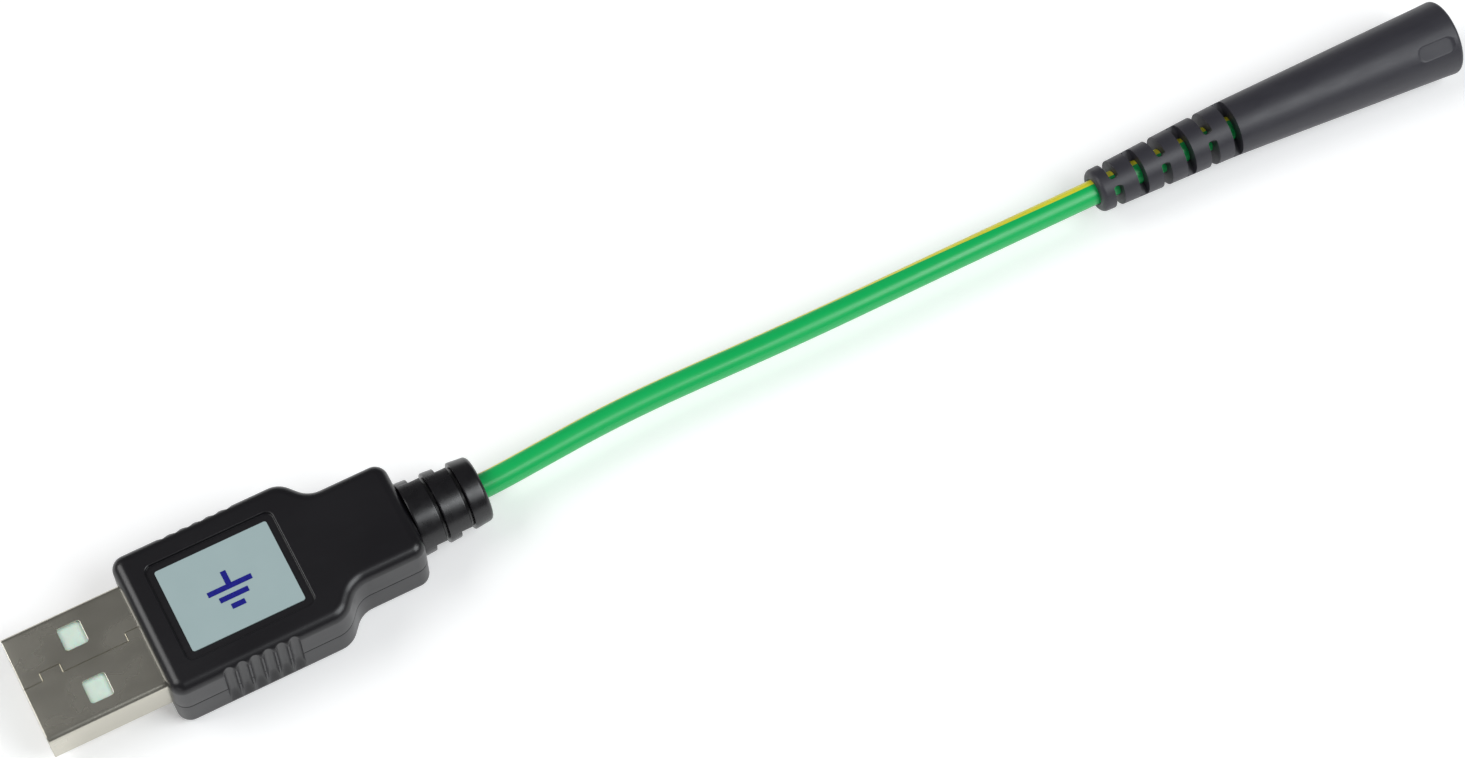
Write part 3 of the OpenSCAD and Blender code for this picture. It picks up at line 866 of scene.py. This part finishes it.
# the flange and neck that hold the strain relief inside the housing
FLANGE_LEN = 1.8
FLANGE_R = 3.5
BOOT_NECK_R = 2.9
BOOT_GROOVES = (2.5, 5.3)
GROOVE_W = 0.35
BOOT_POCKETS = (1.3, 4.1)
POCKET_LEN = 1.2
POCKET_HALF_W = 2.3
POCKET_DEPTH = 0.45
POCKET_ROLL = 24


def boot_radius(u):
    """Outside radius at distance u behind the housing."""
    share = u / (BOOT_HIGH.x - HOUSING_HIGH.x)
    return BOOT_R1 + (BOOT_R2 - BOOT_R1) * share


def boot_pocket(u, turn):
    """Block for one side pocket that opens into the groove behind it."""
    floor = boot_radius(u) - POCKET_DEPTH
    x = HOUSING_HIGH.x + CLEARANCE + u
    half_len = (POCKET_LEN + GROOVE_W / 2) / 2
    outline = rounded_rectangle(half_len, POCKET_HALF_W, 0.15, steps=4)
    loops = [[(a + x + half_len, y, b) for a, b in outline] for y in (floor, floor + 2)]
    form = stack(loops)
    bmesh.ops.rotate(form, verts=form.verts, cent=(0, 0, 0),
                     matrix=Matrix.Rotation(math.radians(turn), 3, "X"))
    return form


def plug_boot():
    x1 = HOUSING_HIGH.x + CLEARANCE
    bore = WIRE_R + CLEARANCE
    flange_end = BOOT_LOW.x + FLANGE_LEN - CLEARANCE
    length = BOOT_HIGH.x - x1
    end_r = 0.5
    groove_d, lip = 0.5, 0.06
    front_r = 0.25
    profile = [(BOOT_LOW.x, bore), (BOOT_LOW.x, FLANGE_R), (flange_end, FLANGE_R),
               (flange_end, BOOT_NECK_R), (x1, BOOT_NECK_R), (x1, BOOT_R1 - front_r),
               (x1 + 0.07, BOOT_R1 - 0.07), (x1 + front_r, boot_radius(front_r))]
    for u in BOOT_GROOVES:
        r = boot_radius(u)
        profile += [(x1 + u - 3 * lip, r), (x1 + u - lip, r - lip / 3), (x1 + u, r - lip * 1.5),
                    (x1 + u + GROOVE_W * 0.2, r - groove_d), (x1 + u + GROOVE_W * 0.8, r - groove_d),
                    (x1 + u + GROOVE_W, r - lip * 1.5), (x1 + u + GROOVE_W + lip, r - lip / 3),
                    (x1 + u + GROOVE_W + 3 * lip, r)]
    r = boot_radius(length)
    profile += round_corner((BOOT_HIGH.x - end_r, r - end_r), end_r, 90, 0, 6)
    profile += [(BOOT_HIGH.x, bore + 0.1), (BOOT_HIGH.x - 0.1, bore)]
    bm = lathe(profile)
    pockets = [boot_pocket(u, POCKET_ROLL + turn) for u in BOOT_POCKETS for turn in (0, 180)]
    bm = cut(bm, merge(*pockets))

    def at_pocket(edge):
        near = [u for u in BOOT_POCKETS
                if all(x1 + u - 0.02 < v.co.x < x1 + u + POCKET_LEN / 2 for v in edge.verts)]
        return near and all(math.hypot(v.co.y, v.co.z) > BOOT_R2 - POCKET_DEPTH - 0.1
                            for v in edge.verts)

    soften(bm, 0.04, chosen=at_pocket, angle=35)
    obj = piece("plug_strain_relief", clean(bm), glossy_boot_plastic())
    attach(obj, "plug")
    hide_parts("plug_boot")


# ------------------------------------------------------------------ wire

def wire_ring(x, radius, sides, lobes=0, lay=0.0):
    """Points round the wire at x, with their (cosine, sine) from +Z towards +Y."""
    centre, direction = centre_line(x)
    side = UP.cross(direction)
    result = []
    for k in range(sides):
        turn = math.tau * k / sides
        r = radius
        if lobes:
            r -= radius * 0.1 * (1 - abs(math.sin(lobes / 2 * (turn - lay * x))))
        result.append((centre + (UP * math.cos(turn) + side * math.sin(turn)) * r,
                       (math.cos(turn), math.sin(turn), x)))
    return result


def wire_length(name, i, x0, x1, radius, bore, material, **strands):
    """One closed length of wire or core that bends over hinge i."""
    sides = 48
    bm = bmesh.new()
    around = bm.verts.layers.float_vector.new("around")

    def add(x, r, **shape):
        loop = []
        for point, angle in wire_ring(x, r, sides, **shape):
            vertex = bm.verts.new(point)
            vertex[around] = angle
            loop.append(vertex)
        return loop

    bend = bend_ends(i)
    places = stations(x0, x1, 0.6)
    if x0 < bend[0].x - 1:
        places = stations(x0, bend[0].x, 3)[:-1] + stations(bend[0].x, x1, 0.6)
    elif x1 > bend[1].x + 1:
        places = stations(x0, bend[1].x, 0.6)[:-1] + stations(bend[1].x, x1, 3)
    outer = [add(x, radius, **strands) for x in places]
    for first, second in zip(outer, outer[1:]):
        bridge(bm, first, second)
    if bore:
        inner = [add(x, bore) for x in places]
        for first, second in zip(inner, inner[1:]):
            bridge(bm, second, first)
        bridge(bm, inner[0], outer[0])
        bridge(bm, outer[-1], inner[-1])
    else:
        bm.faces.new(reversed(outer[0]))
        bm.faces.new(outer[-1])
    bmesh.ops.recalc_face_normals(bm, faces=bm.faces)
    obj = piece("%s_%02d" % (name, i), bm, material, sharp=60)
    blend_over_hinge(obj, i)
    return obj


def wire():
    skin = wire_plastic()
    copper = copper_strands()
    bore = CORE_R + 0.06
    zones = hinge_zones(WIRE_LOW.x, WIRE_END)
    for i, x0, x1 in zones:
        obj = wire_length("earth_wire", i, x0, x1, WIRE_R, bore, skin)
        nodes = ["wire_insulation_%02d" % i]
        if i == LAST:
            nodes.append("wire_insulation_%02d" % (i + 1))
        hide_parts(*nodes)
    zones = hinge_zones(CORE_LOW.x, CORE_END)
    for i, x0, x1 in zones:
        obj = wire_length("strands", i, x0, x1, CORE_R, 0, copper, lobes=7, lay=0.25)
        nodes = ["wire_core_%02d" % i]
        if i == LAST:
            nodes.append("wire_core_%02d" % (i + 1))
        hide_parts(*nodes)


# ------------------------------------------------------------------ jack moulding

SLOT_W = 1.0
WEB_HALF = 0.4
WEB_ROLL = 25
JACK_R1 = 2.3
BORE_R = WIRE_R + CLEARANCE


def jack_radius(x):
    """Outside radius of the moulding's cone at x."""
    share = (x - TIP_LOW.x) / (JACK_HIGH.x - TIP_LOW.x)
    return JACK_R1 + (JACK_HIGH.z - JACK_R1) * share


def slot_cutter(i):
    """The two openings of one slot, with round ends, either side of its webs."""
    x = HINGES[i].x
    half_len, reach = 3, 6
    outline = rounded_rectangle(SLOT_W / 2, half_len, 0.3, steps=5)
    turn = WEB_ROLL + 90 * ((i - FIRST_SLOT) % 2)
    forms = []
    for half_turn in (0, 180):
        loops = [[(x + a, b + WEB_HALF + half_len, z) for a, b in outline]
                 for z in (-reach, reach)]
        form = stack(loops)
        bmesh.ops.rotate(form, verts=form.verts, cent=(0, 0, 0),
                         matrix=Matrix.Rotation(math.radians(turn + half_turn), 3, "X"))
        forms.append(form)
    return forms


def jack_profile():
    """Closed outline of the moulding as (x, radius), tip to mouth and back inside."""
    tip, mouth = TIP_LOW.x, JACK_HIGH.x
    tip_r, mouth_r = 0.55, 0.45
    profile = [(tip, BORE_R + 0.1)]
    profile += round_corner((tip + tip_r, jack_radius(tip + tip_r) - tip_r), tip_r, 180, 90, 6)
    cuts = [bend_ends(i)[1].x for i in range(FIRST_SLOT, LAST + 1)]
    slots = [HINGES[i].x + shift for i in range(FIRST_SLOT, LAST + 1) for shift in (-0.25, 0, 0.25)]
    rows = sorted(cuts + slots) + stations(cuts[-1] + 2, mouth - 2, 2)
    profile += [(x, jack_radius(x)) for x in rows]
    profile += round_corner((mouth - mouth_r, jack_radius(mouth) - mouth_r), mouth_r, 90, 0, 7)
    lip_r = 2.2
    socket_r = 2.5 + CLEARANCE
    crimp_r = 1.5 + CLEARANCE
    crimp_len = 4.5
    crimp_x = SOCKET_LOW.x
    socket_x = crimp_x + crimp_len
    profile += round_corner((mouth - 0.15, lip_r + 0.15), 0.15, 360, 270, 3)
    profile += [(SOCKET_HIGH.x + CLEARANCE, lip_r), (SOCKET_HIGH.x + CLEARANCE, socket_r),
                (socket_x, socket_r), (socket_x, crimp_r), (crimp_x, crimp_r), (crimp_x, BORE_R)]
    profile += [(x, BORE_R) for x in sorted(cuts + slots, reverse=True)]
    profile += [(tip + 0.1, BORE_R)]
    return profile


def gate_mark():
    """Cutter for the shallow moulding mark near the mouth."""
    x, length, width, depth = 157.2, 4.2, 1.9, 0.16
    turn = math.radians(WEB_ROLL + 14)
    r = jack_radius(x)
    loops = []
    for level, share in ((r - depth, 0.8), (r - depth * 0.7, 0.93), (r, 1.02), (r + 0.5, 1.1)):
        outline = rounded_rectangle(length / 2 * share, width / 2 * share, 0.7 * share, steps=6)
        slope = (JACK_HIGH.z - JACK_R1) / (JACK_HIGH.x - TIP_LOW.x)
        loops.append([(x + a, b, level + a * slope) for a, b in outline])
    form = stack(loops)
    bmesh.ops.rotate(form, verts=form.verts, cent=(0, 0, 0), matrix=Matrix.Rotation(turn, 3, "X"))
    return form


def slice_between(bm, x0, x1):
    """The part of bm between two planes, closed again where it was cut."""
    part = bm.copy()
    for x, direction in ((x0, -1), (x1, 1)):
        if x is None:
            continue
        geometry = part.verts[:] + part.edges[:] + part.faces[:]
        bmesh.ops.bisect_plane(part, geom=geometry, dist=1e-3, plane_co=(x, 0, 0),
                               plane_no=(direction, 0, 0), clear_outer=True)
        rim = [e for e in part.edges if e.is_boundary]
        bmesh.ops.bridge_loops(part, edges=rim)
    bmesh.ops.recalc_face_normals(part, faces=part.faces)
    return part


def jack_moulding():
    rubber = jack_rubber()
    openings = []
    for i in range(FIRST_SLOT, LAST + 1):
        openings += slot_cutter(i)
    bm = cut(lathe(jack_profile()), merge(*openings))
    first, last = HINGES[FIRST_SLOT].x - SLOT_W, HINGES[LAST].x + SLOT_W

    def at_slot(edge):
        return all(first < v.co.x < last and math.hypot(v.co.y, v.co.z) > BORE_R + 0.2
                   for v in edge.verts)

    soften(bm, 0.13, segments=3, chosen=at_slot, angle=40)
    bm = clean(cut(bm, gate_mark()))
    for i in range(FIRST_SLOT, LAST + 1):
        start = None if i == FIRST_SLOT else bend_ends(i)[0].x
        end = None if i == LAST else bend_ends(i)[1].x
        part = slice_between(bm, start, end)
        for vertex in part.verts:
            vertex.co = on_path(vertex.co)
        k = i - FIRST_SLOT + 1
        obj = piece("jack_moulding_%d" % k, part, rubber)
        blend_over_hinge(obj, i, half=SLOT_W * 0.62)
        nodes = ["jack_boot_tip"] if k == 1 else []
        nodes.append("jack_boot_body" if i == LAST else "jack_boot_ring_%02d" % k)
        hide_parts(*nodes)
    bm.free()


# ------------------------------------------------------------------ CAD nodes that stay

def paint_cad_nodes():
    """Materials for the CAD parts that are shown as they are."""
    along_x = (40, 1, 1)
    turned = (1, 30, 30)
    finishes = {
        "usb_insulator": natural_nylon(),
        "usb_contacts": plain_metal("gold_flash", (0.70, 0.44, 0.14, 1), (0.86, 0.60, 0.24, 1),
                                    0.16, along_x),
        "label_plate": label_film(),
        "label_mark": label_ink(),
        "series_resistor": resistor_lacquer(),
        "resistor_leads": plain_metal("tinned_wire", grey(0.50), grey(0.66), 0.25, along_x),
        "heat_shrink": shrink_tube(),
        "solder_joint": plain_metal("solder", grey(0.42), grey(0.62), 0.2, (1, 1, 1)),
        "crimp_sleeve": plain_metal("tinned_sleeve", grey(0.48, 0.02), grey(0.64, 0.02), 0.24,
                                    turned),
        "jack_socket": plain_metal("turned_nickel", grey(0.56, 0.03), grey(0.70, 0.03), 0.18,
                                   turned),
    }
    for node, material in finishes.items():
        slots = frame["nodes"][node].data.materials
        slots.clear()
        slots.append(material)


# ------------------------------------------------------------------ stage, light and camera

def floor():
    """A flat pale sheet that the housing lies on."""
    size, centre_x = 1.6, 0.08
    level = HOUSING_LOW.z * MM
    bm = bmesh.new()
    cells = 8
    grid = [[bm.verts.new((size * (a / cells - 0.5) + centre_x, size * (b / cells - 0.5), level))
             for a in range(cells + 1)] for b in range(cells + 1)]
    for b in range(cells):
        for a in range(cells):
            bm.faces.new((grid[b][a], grid[b][a + 1], grid[b + 1][a + 1], grid[b + 1][a]))
    obj = linked("floor", mesh_from(bm, "floor"))
    obj.data.materials.append(backdrop_paper())


def area_light(name, azimuth, elevation, distance, size, power, tint=(1, 1, 1)):
    """A soft rectangular lamp aimed at the middle of the lead. Azimuth 0 is the -Y side."""
    centre = (CAD_BOX[0] + CAD_BOX[1]) / 2
    a, e = math.radians(azimuth), math.radians(elevation)
    back = Vector((math.sin(a) * math.cos(e), -math.cos(a) * math.cos(e), math.sin(e)))
    data = bpy.data.lights.new(name, "AREA")
    data.shape = "RECTANGLE"
    data.size, data.size_y = size
    data.energy = power
    data.color = tint
    lamp = bpy.data.objects.new(name, data)
    lamp.location = centre + back * distance
    lamp.rotation_mode = "QUATERNION"
    lamp.rotation_quaternion = back.to_track_quat("Z", "Y")
    bpy.context.scene.collection.objects.link(lamp)


def lights():
    area_light("right_softbox", 45, 48, 0.8, (0.5, 0.5), 4.2, (0.95, 0.98, 1))
    area_light("left_softbox", -118, 45, 0.8, (0.5, 0.5), 3.0)
    area_light("left_card", -52, 14, 0.6, (0.4, 0.12), 0.22)
    world = bpy.data.worlds.new("studio")
    bpy.context.scene.world = world
    world.use_nodes = True
    world.node_tree.nodes["Background"].inputs["Color"].default_value = (1, 1, 1, 1)
    world.node_tree.nodes["Background"].inputs["Strength"].default_value = 0.15


def camera():
    azimuth, elevation, distance = -27.7, 63.3, 379.1
    focal = 93.4
    sensor = 36
    centre = (CAD_BOX[0] + CAD_BOX[1]) / 2
    aim = Vector((centre.x - 4.4 * MM, centre.y - 1.0 * MM, 0))
    a, e = math.radians(azimuth), math.radians(elevation)
    back = Vector((math.sin(a) * math.cos(e), -math.cos(a) * math.cos(e), math.sin(e)))
    data = bpy.data.cameras.new("camera")
    data.lens = focal
    data.sensor_width = sensor
    data.clip_start = 0.01
    obj = bpy.data.objects.new("camera", data)
    obj.location = aim + back * distance * MM
    obj.rotation_mode = "QUATERNION"
    obj.rotation_quaternion = back.to_track_quat("Z", "Y")
    bpy.context.scene.collection.objects.link(obj)
    bpy.context.scene.camera = obj
    bpy.context.scene.view_settings.view_transform = "Standard"


usb_shell()
housing()
plug_boot()
wire()
jack_moulding()
paint_cad_nodes()
floor()
lights()
camera()
